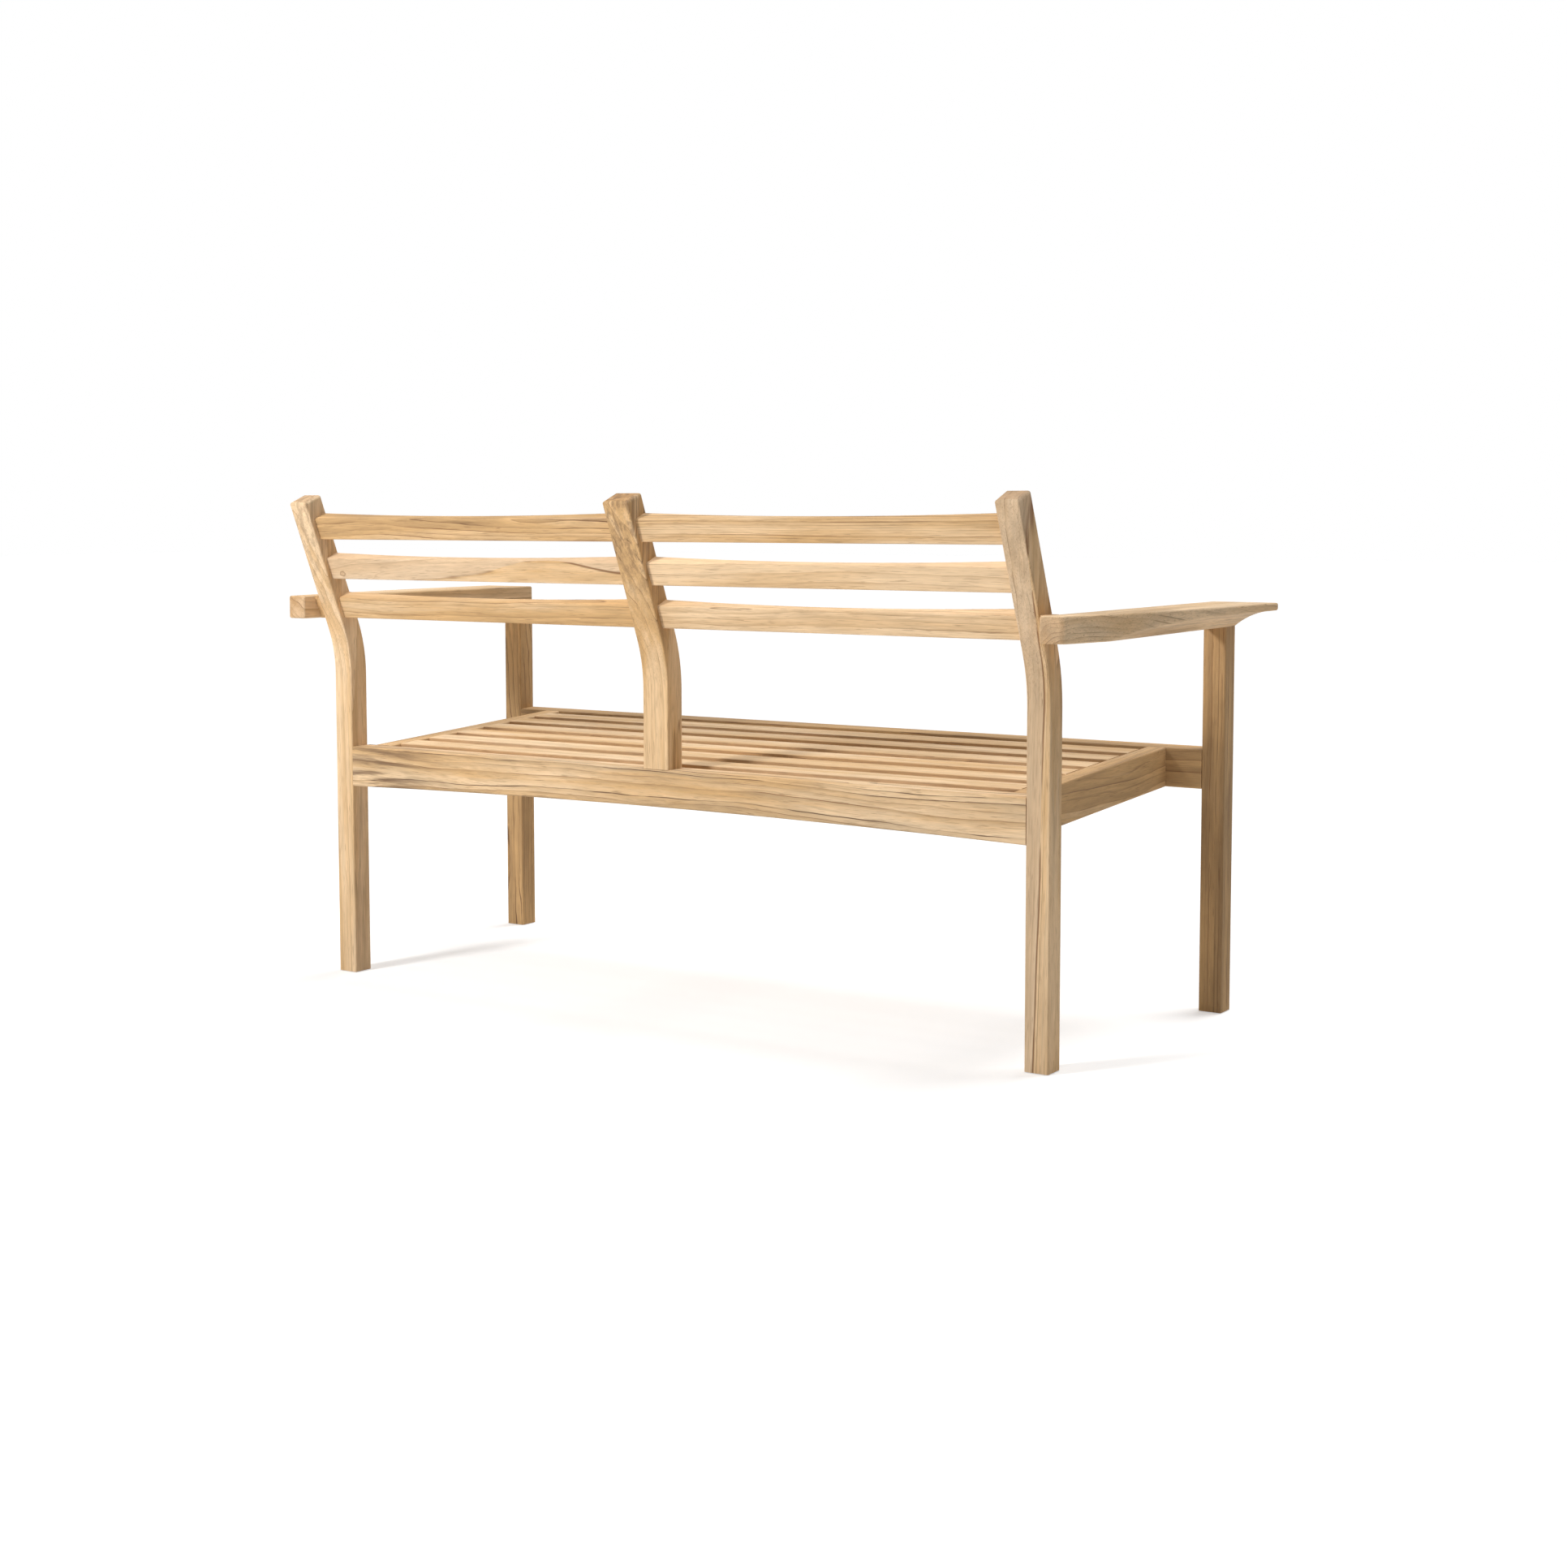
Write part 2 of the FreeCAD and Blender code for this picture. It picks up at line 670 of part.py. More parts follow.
def make_back_slats():
    bay = "rear_leg_inner - post_width / 2"
    rear = "-back_slat_inset"
    front = "-back_slat_inset - back_slat_thickness"
    hollow_radius = f"(({bay}) ^ 2 / 4 + back_slat_hollow ^ 2) / (2 * back_slat_hollow)"
    plan = [
        Corner("post_width / 2", rear),
        Corner("post_width / 2", front),
        Corner("rear_leg_inner", front, hollow_radius, -1),
        Corner("rear_leg_inner", rear),
    ]
    for index, name in enumerate(BACK_SLATS):
        slat = new_body(f"back_slat_left_{name}", BACK)
        grow(slat, "XY_Plane", back_slat_top(index), "back_slat_height", -1, plan)
        round_long_edges(slat, "slat_round", f"({bay}) / 2")
        for joint in back_slat_joints(index):
            add_tenon(slat, joint)
        keep_pair(slat)


def cut_cove(arm):
    """Thin the arm from below: a round cove along a line from the front leg's outer face, turned outwards."""
    profile = [
        Corner("0", "0"),
        Corner("cove_width", "cove_rise", "cove_radius", -1),
        Corner("arm_front_width", "cove_rise"),
        Corner("arm_front_width", "-cove_rise"),
        Corner("0", "-cove_rise"),
    ]
    sketch = add_sketch(arm, "XZ_Plane", "front_face", [profile])
    turn_sketch(sketch, (0, -1, 0), "cove_turn", "front_leg_outer", "arm_bottom")
    carve(arm, sketch, "2 * arm_length", False)


def make_arms():
    arm = new_body("arm_left")
    plan = [
        Corner("arm_inner", "front_face"),
        Corner("arm_inner", "arm_rear"),
        Corner("arm_inner + arm_rear_width", "arm_rear"),
        Corner("arm_inner + arm_front_width", "front_face", "arm_sweep", -1),
    ]
    grow(arm, "XY_Plane", "arm_bottom", "arm_thickness", 1, plan)
    corner = FreeCAD.Vector(value("arm_inner + arm_rear_width"), value("arm_rear"), value("dowel_height"))
    round_edges(arm, "arm_corner_round", lambda edge: edge.CenterOfMass.isEqual(corner, SAME_POINT))
    cut_cove(arm)
    round_edges(arm, "min(arm_round; (arm_thickness - cove_rise) / 3)", lambda edge: True)
    cut_mortise(arm, LEG_TO_ARM)
    cut(arm, "YZ_Plane", "arm_inner", "dowel_depth + joint_gap", 1, *DOWEL_HOLES)
    keep_pair(arm)


def make_arm_spacers():
    """A slice of the leg's own side view, as high as the arm."""
    spacer = new_body("arm_spacer_left")
    outline = bent_outline("glide_proud", "spacer_inset")
    grow(spacer, "YZ_Plane", "rear_leg_outer", "spacer_thickness", 1, outline)
    plan = rectangle("rear_leg_outer", "arm_inner", "front_face", "rear_face + head_reach")
    cut(spacer, "XY_Plane", "arm_bottom", "arm_bottom", -1, plan)
    cut(spacer, "XY_Plane", "arm_height", "back_length", 1, plan)
    cut(spacer, "YZ_Plane", "rear_leg_outer", "spacer_thickness", 1, *DOWEL_HOLES)
    keep_pair(spacer)


def make_arm_dowels():
    dowels = []
    for index, centre in enumerate(DOWEL_CENTRES):
        dowel = new_body(f"dowel_left_{index}")
        end = Circle(centre, "dowel_height", "dowel_diameter")
        grow(dowel, "YZ_Plane", "rear_leg_outer - dowel_depth", "spacer_thickness + 2 * dowel_depth", 1, end)
        dowels += [dowel, mirror(dowel, f"dowel_right_{index}")]
    keep_group("arm_dowels", dowels)


def turn_about_z(label, profile):
    """Make a round piece from half its section, drawn beside its own upright axis."""
    body = new_body(label)
    turned = body.newObject("PartDesign::Revolution", f"{label}_turned")
    sketch = add_sketch(body, "XZ_Plane", "0", [profile])
    turned.Profile = sketch
    turned.ReferenceAxis = (sketch, ["V_Axis"])
    turned.Angle = 360
    return body


def headed_profile(diameter, length, head_diameter, head_height):
    """Half section of a screw or nail, its head down and its point up."""
    return [
        Corner("0", "0"),
        Corner(f"{head_diameter} / 2", "0"),
        Corner(f"{head_diameter} / 2", head_height),
        Corner(f"{diameter} / 2", head_height),
        Corner(f"{diameter} / 2", f"{length} - {diameter}"),
        Corner("0", length),
    ]


def make_slat_screws():
    length = "bearer_height * cos(seat_slope) - screw_recess + screw_bite"
    profile = headed_profile("screw_diameter", length, "screw_head_diameter", "screw_head_height")
    screws = []
    for index in range(SEAT_SLATS):
        screw = turn_about_z(f"slat_screw_{index}", profile)
        world_y, world_z = from_frame(SEAT, seat_slat_middle(index), "bearer_underside + screw_recess")
        place(screw, y=world_y, z=world_z, tilt=SEAT.tilt)
        screws.append(screw)
    keep_group("slat_screws", screws)


def make_foot_glides():
    bore = "nail_diameter / 2 + joint_gap"
    well = "nail_head_diameter / 2 + joint_gap"
    profile = [
        Corner(well, "0"),
        Corner("glide_diameter / 2 - glide_proud", "0"),
        Corner("glide_diameter / 2", "glide_proud"),
        Corner("glide_diameter / 2", "glide_proud + glide_recess"),
        Corner(bore, "glide_proud + glide_recess"),
        Corner(bore, "glide_proud + nail_head_height"),
        Corner(well, "glide_proud + nail_head_height"),
    ]
    nail_profile = headed_profile("nail_diameter", "nail_length", "nail_head_diameter", "nail_head_height")
    nails = []
    for foot, (x, y) in FEET.items():
        glide = turn_about_z(f"foot_glide_{foot}_left", profile)
        place(glide, x=x, y=y)
        keep_pair(glide)
        nail = turn_about_z(f"glide_nail_{foot}_left", nail_profile)
        place(nail, x=x, y=y, z="glide_proud")
        nails += [nail, mirror(nail, f"glide_nail_{foot}_right")]
    keep_group("glide_nails", nails)


make_rear_legs()
make_front_legs()
make_back_post()
make_rear_rail()
make_front_rail()
make_side_rails()
make_seat_bearer()
make_seat_slats()
make_back_slats()
make_arms()
make_arm_spacers()
make_arm_dowels()
make_slat_screws()
make_foot_glides()
doc.recompute()

failed = [item.Label for item in doc.Objects if {"Invalid", "Error"} & set(item.State)]
failed += [piece.Label for piece in nodes if piece.Shape.isNull() or not piece.Shape.isValid()]
if failed:
    raise RuntimeError(f"these pieces failed: {', '.join(failed)}")

os.makedirs("parts", exist_ok=True)
for piece in nodes:
    piece.Shape.exportStep(f"parts/{piece.Label}.step")
    print(piece.Label, len(piece.Shape.Solids), round(piece.Shape.Volume))
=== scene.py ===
import math
from typing import NamedTuple

import bpy
from mathutils import Matrix, Vector


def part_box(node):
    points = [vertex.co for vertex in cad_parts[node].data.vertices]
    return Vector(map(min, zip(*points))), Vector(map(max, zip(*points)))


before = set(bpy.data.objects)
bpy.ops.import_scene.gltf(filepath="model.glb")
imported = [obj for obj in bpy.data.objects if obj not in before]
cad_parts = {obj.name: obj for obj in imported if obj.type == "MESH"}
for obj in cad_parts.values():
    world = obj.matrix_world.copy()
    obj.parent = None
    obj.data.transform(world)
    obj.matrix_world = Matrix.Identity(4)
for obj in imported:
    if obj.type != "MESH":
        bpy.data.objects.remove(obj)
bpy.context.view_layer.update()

# Outdoor lounge sofa of pale hardwood, seen from behind. Metres and degrees, +Z up; the sofa faces -Y.
# Every wooden piece keeps its solid, and gets the grain of a board of its own.

MM = 0.001

# Camera: a picture of 1931 by 1932 pixels, with the focal length and principal point in those pixels
PICTURE_WIDTH = 1931
PICTURE_HEIGHT = 1932
FOCAL_LENGTH = 2815.7
PRINCIPAL_POINT = (965.3, 855.5)
CAMERA_PLACE = (-1.9461, 2.8320, 0.7315)
CAMERA_HEADING = 213.313
CAMERA_PITCH = -4.581
CAMERA_ROLL = -0.062
SENSOR_WIDTH = 36  # millimetres


def add_object(name, data):
    thing = bpy.data.objects.new(name, data)
    bpy.context.scene.collection.objects.link(thing)
    return thing


def turn(degrees, axis):
    return Matrix.Rotation(math.radians(degrees), 4, axis)


def make_camera():
    data = bpy.data.cameras.new("camera")
    data.sensor_fit = "HORIZONTAL"
    data.sensor_width = SENSOR_WIDTH
    data.lens = FOCAL_LENGTH / PICTURE_WIDTH * SENSOR_WIDTH
    data.shift_x = (PICTURE_WIDTH / 2 - PRINCIPAL_POINT[0]) / PICTURE_WIDTH
    data.shift_y = (PRINCIPAL_POINT[1] - PICTURE_HEIGHT / 2) / PICTURE_WIDTH
    camera = add_object("camera", data)
    aim = turn(CAMERA_HEADING, "Z") @ turn(90 + CAMERA_PITCH, "X") @ turn(CAMERA_ROLL, "Z")
    camera.matrix_world = Matrix.Translation(CAMERA_PLACE) @ aim
    bpy.context.scene.camera = camera


class Noise(NamedTuple):
    """Clouds of values from 0 to 1: how often they come to the metre, in x and y (across) and z (along)."""
    across: float
    along: float
    detail: float = 1.0
    roughness: float = 0.5


# Sockets of a mix node for colours, by number, because it has others of the same names
MIX_SHARE = 0
MIX_FIRST = 6
MIX_SECOND = 7
MIX_RESULT = 2


class Graph:
    """Writes a node tree: most methods add a node and give its output."""

    def __init__(self, tree):
        self.tree = tree

    def feed(self, socket, value):
        """Link an output to a socket, or set a plain value on it."""
        if isinstance(value, bpy.types.NodeSocket):
            self.tree.links.new(value, socket)
        else:
            socket.default_value = value

    def add(self, kind, inputs=(), **settings):
        node = self.tree.nodes.new(kind)
        for name, setting in settings.items():
            setattr(node, name, setting)
        for key, value in dict(inputs).items():
            self.feed(node.inputs[key], value)
        return node

    def math(self, operation, *values):
        return self.add("ShaderNodeMath", enumerate(values), operation=operation).outputs[0]

    def vector(self, operation, *values):
        node = self.add("ShaderNodeVectorMath", enumerate(values), operation=operation)
        return node.outputs["Value" if operation in ("LENGTH", "DOT_PRODUCT") else "Vector"]

    def noise(self, place, noise, output="Fac"):
        place = self.vector("MULTIPLY", place, (noise.across, noise.across, noise.along))
        inputs = {"Vector": place, "Scale": 1.0, "Detail": noise.detail, "Roughness": noise.roughness}
        return self.add("ShaderNodeTexNoise", inputs).outputs[output]

    def ease(self, value, limits, start=0.0, end=1.0):
        """Go smoothly from start to end as a value goes from the lower limit to the upper one."""
        low, high = limits
        inputs = {"Value": value, "From Min": low, "From Max": high, "To Min": start, "To Max": end}
        return self.add("ShaderNodeMapRange", inputs, interpolation_type="SMOOTHSTEP").outputs["Result"]

    def spread(self, value, start, end):
        """Spread a value from 0 to 1 over start to end."""
        inputs = {"Value": value, "To Min": start, "To Max": end}
        return self.add("ShaderNodeMapRange", inputs, clamp=False).outputs["Result"]

    def luck(self, number):
        """A number from 0 to 1 that depends on another as if by chance."""
        return self.add("ShaderNodeTexWhiteNoise", {"W": number}, noise_dimensions="1D").outputs["Value"]

    def mix(self, share, first, second, blend="MIX"):
        """Blend two colours. A share below 0 or above 1 is held there."""
        inputs = {MIX_SHARE: share, MIX_FIRST: first, MIX_SECOND: second}
        return self.add("ShaderNodeMix", inputs, data_type="RGBA", blend_type=blend).outputs[MIX_RESULT]

    def facing(self, normal, direction):
        """How squarely a surface faces a direction or its opposite, from 0 to 1."""
        return self.math("ABSOLUTE", self.vector("DOT_PRODUCT", normal, direction))


def linear(red, green, blue):
    """Turn a colour as it is seen on a screen, from 0 to 255, into the renderer's own."""
    def channel(value):
        value /= 255
        return value / 12.92 if value <= 0.04045 else ((value + 0.055) / 1.055) ** 2.4
    return (channel(red), channel(green), channel(blue), 1.0)


def new_material(name):
    material = bpy.data.materials.new(name)
    material.use_nodes = True
    tree = material.node_tree
    return material, Graph(tree), tree.nodes["Principled BSDF"].inputs


def add_relief(g, surface, height, depth, strength):
    inputs = {"Height": height, "Distance": depth, "Strength": strength}
    g.feed(surface["Normal"], g.add("ShaderNodeBump", inputs).outputs["Normal"])


# Teak, drawn as the rings of a log: x and y lie across the log, and z runs along its pith
PALE = linear(241, 209, 168)
HONEY = linear(216, 175, 122)
BROWN = linear(166, 133, 93)
SAP = linear(220, 194, 164)
LATE = linear(170, 133, 88)
LINE = linear(132, 92, 58)
VEIN = linear(80, 54, 38)
GREY = linear(172, 154, 128)
SMOKE = linear(122, 94, 68)
PORE = linear(120, 84, 54)

# Waves in the rings, from slow to quick, and how far each bends them
WAVES = (
    (Noise(2, 1.1), 36 * MM),
    (Noise(9, 3.6), 12 * MM),
    (Noise(45, 11), 2.4 * MM),
    (Noise(160, 30), 0.5 * MM),
)

# Rings of uneven width. Late wood darkens each one to its end, in some rings more than in others
RING_WIDTHS = Noise(45, 0.4)
RING_UNEVENNESS = 1.8
RING_END = (0.965, 1.0)
LATE_STEEPNESS = 2.2
LATE_LEAST, LATE_MOST = 0.1, 0.9

# Breaks in the marks at the ends of the rings: a mark has no width below the lower limit, and its full width
# above the upper one
BREAKS = Noise(60, 6, 3, 0.6)
BREAK_LIMITS = (0.36, 0.64)

# Pale sapwood outside the heartwood, and the dark line that parts them
SAP_LIMITS = (-0.3 * MM, 0.5 * MM)
SAP_SHARE = 0.6
BORDER_LIMITS = (0.2 * MM, 2.0 * MM)
BORDER_BREAK_LIMITS = (0.36, 0.52)
BORDER_SHARE = 0.9

# Bands of tone, and how much a ring's own tone shifts them
BANDS = Noise(24, 2.2, 3, 0.6)
BAND_LIMITS = (0.30, 0.70)
RING_SHIFT = 0.12

# Streaks, grey patches and dark smoke
STREAKS = Noise(230, 9, 3, 0.65)
STREAK_LIMITS = (0.52, 0.74)
STREAK_SHARE = 0.5
PATCHES = Noise(34, 2.4, 4, 0.6)
PATCH_LIMITS = (0.44, 0.64)
PATCH_OFFSET = (3.1, 7.7, 1.9)
DRIFTS = Noise(110, 3.2, 4, 0.65)
DRIFT_LIMITS = (0.43, 0.62)
SMOKE_SHARE = 0.85

# Mottling and long fibres darken and lighten the wood. Fine pores are more open where a ring begins
MOTTLES = Noise(60, 11, 3, 0.6)
MOTTLE_DARK, MOTTLE_LIGHT = 0.76, 1.18
FIBRES = Noise(700, 22, 2, 0.6)
FIBRE_DARK, FIBRE_LIGHT = 0.78, 1.18
PORES = Noise(1000, 36)
PORE_LIMITS = (0.60, 0.72)
PORE_EARLY, PORE_LATE = 1.0, 0.35
PORE_SHARE = 0.55
LATE_RELIEF = 0.35
FIBRE_RELIEF = 0.5
PORE_RELIEF = -0.6


class Mark(NamedTuple):
    """A dark mark at the end of some rings: its width, its soft edge, and the luck that a ring needs."""
    width: float
    edge: tuple
    luck: tuple


THIN_LINE = Mark(0.9 * MM, (-0.3 * MM, 0.3 * MM), (0.2, 0.8))
DARK_VEIN = Mark(1.7 * MM, (-0.6 * MM, 0.3 * MM), (0.62, 0.72))


def bend_rings(g, place, figure):
    """Shift a place across the log by waves."""
    bend = (0.0, 0.0, 0.0)
    for noise, reach in WAVES:
        wave = g.vector("SUBTRACT", g.noise(place, noise, "Color"), (0.5, 0.5, 0.5))
        bend = g.vector("MULTIPLY_ADD", wave, (reach, reach, 0.0), bend)
    return g.vector("ADD", place, g.vector("MULTIPLY", bend, figure))


def draw_tone(g, bent, luck, warmth):
    """The heartwood's colour, in bands from pale to brown."""
    shift = g.math("SUBTRACT", luck, 0.5)
    band = g.math("MULTIPLY_ADD", shift, RING_SHIFT, g.noise(bent, BANDS))
    tone = g.math("ADD", g.ease(band, BAND_LIMITS), warmth)
    colour = g.mix(tone, PALE, HONEY)
    return g.mix(g.math("SUBTRACT", tone, 1.0), colour, BROWN)


def draw_border(g, depth, breaks):
    """The dark line where the sapwood begins."""
    border = g.ease(g.math("ABSOLUTE", depth), BORDER_LIMITS, BORDER_SHARE, 0.0)
    return g.math("MULTIPLY", border, g.ease(breaks, BORDER_BREAK_LIMITS))


def draw_mark(g, mark, to_end, breaks, fade, luck):
    """A mark of broken width in some of the rings, given the distance to the ring's end."""
    inside = g.math("MULTIPLY_ADD", g.ease(breaks, BREAK_LIMITS), -mark.width, to_end)
    drawn = g.math("MULTIPLY", g.ease(inside, mark.edge, 1.0, 0.0), fade)
    return g.math("MULTIPLY", drawn, g.ease(luck, mark.luck))


def draw_late_wood(g, part, fade, luck):
    """How far the wood has darkened at a part of a ring."""
    late = g.math("MULTIPLY", g.math("POWER", part, LATE_STEEPNESS), fade)
    return g.math("MULTIPLY", late, g.spread(luck, LATE_LEAST, LATE_MOST))


def draw_clouds(g, bent, given, colour):
    """Streaks of late wood, grey patches and dark smoke."""
    streak = g.ease(g.noise(bent, STREAKS), STREAK_LIMITS, 0.0, STREAK_SHARE)
    colour = g.mix(g.math("MULTIPLY", streak, given["Lines"]), colour, LATE)
    patch = g.ease(g.noise(g.vector("ADD", bent, PATCH_OFFSET), PATCHES), PATCH_LIMITS)
    colour = g.mix(g.math("MULTIPLY", patch, given["Grey"]), colour, GREY)
    smoke = g.ease(g.noise(bent, DRIFTS), DRIFT_LIMITS, 0.0, SMOKE_SHARE)
    return g.mix(g.math("MULTIPLY", smoke, given["Stain"]), colour, SMOKE)


def draw_teak(g, given):
    """The colour, late wood and relief at a place in a log."""
    place = given["Place"]
    bent = bend_rings(g, place, given["Figure"])
    radius = g.vector("LENGTH", g.vector("MULTIPLY", bent, (1.0, 1.0, 0.0)))
    count = g.math("DIVIDE", radius, given["Ring"])
    count = g.math("MULTIPLY_ADD", g.noise(bent, RING_WIDTHS), RING_UNEVENNESS, count)
    ring = g.math("FLOOR", count)
    part = g.math("FRACT", count)
    luck = g.luck(ring)
    other_luck = g.luck(g.math("ADD", ring, 0.5))

    fade = g.ease(part, RING_END, 1.0, 0.0)
    late = draw_late_wood(g, part, fade, luck)
    to_end = g.math("MULTIPLY", g.math("SUBTRACT", 1.0, part), given["Ring"])
    breaks = g.noise(bent, BREAKS)
    line = draw_mark(g, THIN_LINE, to_end, breaks, fade, luck)
    vein = draw_mark(g, DARK_VEIN, to_end, breaks, fade, other_luck)
    depth = g.math("SUBTRACT", radius, given["Heart"])

    colour = draw_tone(g, bent, luck, given["Warmth"])
    colour = g.mix(g.ease(depth, SAP_LIMITS, 0.0, SAP_SHARE), colour, SAP)
    colour = g.mix(g.math("MULTIPLY", late, given["Lines"]), colour, LATE)
    colour = draw_clouds(g, bent, given, colour)
    line = g.math("MAXIMUM", g.math("MULTIPLY", line, given["Lines"]), draw_border(g, depth, breaks))
    colour = g.mix(line, colour, LINE)
    vein = g.math("MULTIPLY", vein, g.math("MAXIMUM", given["Veins"], given["Stain"]))
    colour = g.mix(vein, colour, VEIN)
    mottle = g.spread(g.noise(bent, MOTTLES), MOTTLE_DARK, MOTTLE_LIGHT)
    colour = g.vector("MULTIPLY", colour, mottle)
    fibre = g.noise(bent, FIBRES)
    colour = g.vector("MULTIPLY", colour, g.spread(fibre, FIBRE_DARK, FIBRE_LIGHT))
    pore = g.ease(g.noise(place, PORES), PORE_LIMITS)
    pore = g.math("MULTIPLY", pore, g.spread(part, PORE_EARLY, PORE_LATE))
    colour = g.mix(g.math("MULTIPLY", pore, PORE_SHARE), colour, PORE)

    relief = g.math("MULTIPLY_ADD", late, LATE_RELIEF, g.math("MULTIPLY", fibre, FIBRE_RELIEF))
    relief = g.math("MULTIPLY_ADD", pore, PORE_RELIEF, relief)
    return {"Colour": colour, "Late": late, "Relief": relief}


TEAK_INPUTS = {
    "Place": "Vector", "Ring": "Float", "Figure": "Float", "Lines": "Float", "Veins": "Float",
    "Warmth": "Float", "Grey": "Float", "Heart": "Float", "Stain": "Float",
}
TEAK_OUTPUTS = {"Colour": "Color", "Late": "Float", "Relief": "Float"}


def make_teak():
    """The node group that all the boards share."""
    tree = bpy.data.node_groups.new("teak", "ShaderNodeTree")
    for name, kind in TEAK_INPUTS.items():
        tree.interface.new_socket(name, in_out="INPUT", socket_type="NodeSocket" + kind)
    for name, kind in TEAK_OUTPUTS.items():
        tree.interface.new_socket(name, in_out="OUTPUT", socket_type="NodeSocket" + kind)
    g = Graph(tree)
    drawn = draw_teak(g, g.add("NodeGroupInput").outputs)
    g.add("NodeGroupOutput", drawn)
    return tree


class Board(NamedTuple):
    """How one piece was sawn from its log: millimetres, degrees, and strengths where 0 is none."""
    axis: str  # the grain runs along it
    pith: tuple  # from the middle of the piece, in the two directions across and in the order of the axes
    slant: tuple  # how far the grain is turned off the axis, about those two directions
    ring: float  # the width of a ring
    figure: float = 1.0  # waves in the rings
    lines: float = 0.75  # late wood, streaks and thin lines
    veins: float = 0.15  # dark broken veins
    warmth: float = 0.0  # paler below 0, browner above it
    grey: float = 0.0  # grey patches
    heart: float = 9999  # the heartwood's radius, with sapwood outside it
    swell: tuple = None  # a swelling of the heartwood: its place along the axis, reach and height
    stain: tuple = None  # smoke and veins: their place along the axis, reach and strength
    sides: float = 0.0  # painted shade: how much darker the sides are painted than the top
    knot: tuple = None  # a knot that goes through from front to rear: its X and Z from the middle


BOARDS = {
    "rear_leg_left": Board(
        "Z", (130, -60), (0.5, 0.4), 9, figure=0.7, lines=0.4, warmth=-0.3, veins=0.1,
        stain=(375, 220, 0.5),
    ),
    "rear_leg_right": Board(
        "Z", (-400, 0), (0.3, -2.1), 6, figure=0.6, lines=0.4, warmth=0.2, grey=0.2, heart=395,
        stain=(230, 260, 0.2),
    ),
    "front_leg_left": Board("Z", (25, 55), (0.5, 1.0), 7, figure=2.0, warmth=0.9, lines=1.0, veins=0.6),
    "front_leg_right": Board("Z", (120, 60), (0.6, -0.4), 5, warmth=1.25, lines=0.9, veins=0.4),
    "back_post": Board(
        "Z", (85, -60), (0.8, 0.6), 8, figure=0.6, lines=0.5, warmth=0.35, stain=(200, 190, 0.7),
    ),
    "rear_rail": Board(
        "X", (60, -90), (-0.8, 0.9), 8, figure=1.6, lines=1.0, veins=0.85, grey=0.35, stain=(600, 220, 1.0),
    ),
    "front_rail": Board("X", (90, 60), (0.4, 0.5), 5, warmth=1.0, lines=0.7),
    "side_rail_left": Board("Y", (-80, 50), (0.5, -0.6), 6, warmth=0.3),
    "side_rail_right": Board("Y", (70, 40), (-0.8, 0.6), 6, warmth=0.6),
    "seat_bearer": Board("Y", (40, -90), (0.5, 0.5), 6),
    "seat_slat_1": Board("X", (90, -60), (0.4, 0.2), 7, lines=0.35, warmth=-0.1, grey=0.1, sides=0.4),
    "seat_slat_2": Board("X", (-70, -90), (0.3, -0.4), 6, lines=0.3, warmth=-0.2, grey=0.2, sides=0.4),
    "seat_slat_3": Board("X", (50, -40), (-0.5, 0.3), 8, lines=0.35, warmth=-0.1, sides=0.4),
    "seat_slat_4": Board("X", (-120, -30), (0.2, 0.5), 5, lines=0.3, warmth=-0.2, sides=0.4),
    "seat_slat_5": Board("X", (30, -80), (-0.3, -0.3), 7, lines=0.35, warmth=-0.05, sides=0.4),
    "seat_slat_6": Board("X", (-60, -60), (0.5, 0.2), 6, lines=0.4, warmth=-0.1, sides=0.4),
    "back_slat_left_top": Board("X", (60, 8), (0.2, 1.1), 6, figure=1.5, warmth=0.65, lines=1.0, veins=0.3),
    "back_slat_left_middle": Board(
        "X", (40, -60), (2.0, 0.5), 12, lines=0.3, veins=0.0, warmth=0.1, heart=53, swell=(-150, 140, 14),
        knot=(261, -12),
    ),
    "back_slat_left_bottom": Board("X", (30, 90), (0.4, 0.3), 8, warmth=0.05, lines=0.9, veins=0.3),
    "back_slat_right_top": Board("X", (20, -110), (0.2, 0.2), 4, figure=0.6, warmth=0.15, lines=0.9),
    "back_slat_right_middle": Board("X", (60, -90), (0.5, -0.3), 10, warmth=-0.45, lines=0.5),
    "back_slat_right_bottom": Board("X", (70, 25), (-0.4, 0.5), 7, figure=1.4, warmth=-0.5, lines=0.65),
    "arm_left": Board("Y", (20, -60), (0.6, 0.5), 7, warmth=-0.25),
    "arm_right": Board(
        "Y", (15, -45), (-0.5, 0.8), 6, figure=1.1, lines=0.5, warmth=-0.35, grey=0.2, stain=(0, 140, 0.35),
    ),
    "arm_spacer_left": Board("Z", (40, 60), (0.5, 0.5), 5),
    "arm_spacer_right": Board("Z", (50, 40), (0.5, 0.5), 5),
    "arm_dowels": Board("X", (20, 20), (0, 0), 4),
}

# The turn that brings a log's own axis, upright, to lie along a board's axis
LIE_ALONG = {"X": turn(90, "Y"), "Y": turn(-90, "X"), "Z": Matrix.Identity(4)}
ACROSS = {"X": (1, 2), "Y": (0, 2), "Z": (0, 1)}
UP = (0.0, 0.0, 1.0)

GRAIN_OFFSET = 2.7  # metres along the log from one board to the next, so that no two are alike
STAIN_CORE = 0.3  # the share of a stain's reach that is stained in full
GRAIN_DEPTH = 0.35 * MM
GRAIN_STRENGTH = 0.6
LATE_ROUGHNESS, EARLY_ROUGHNESS = 0.56, 0.74
WOOD_SPECULAR = 0.35
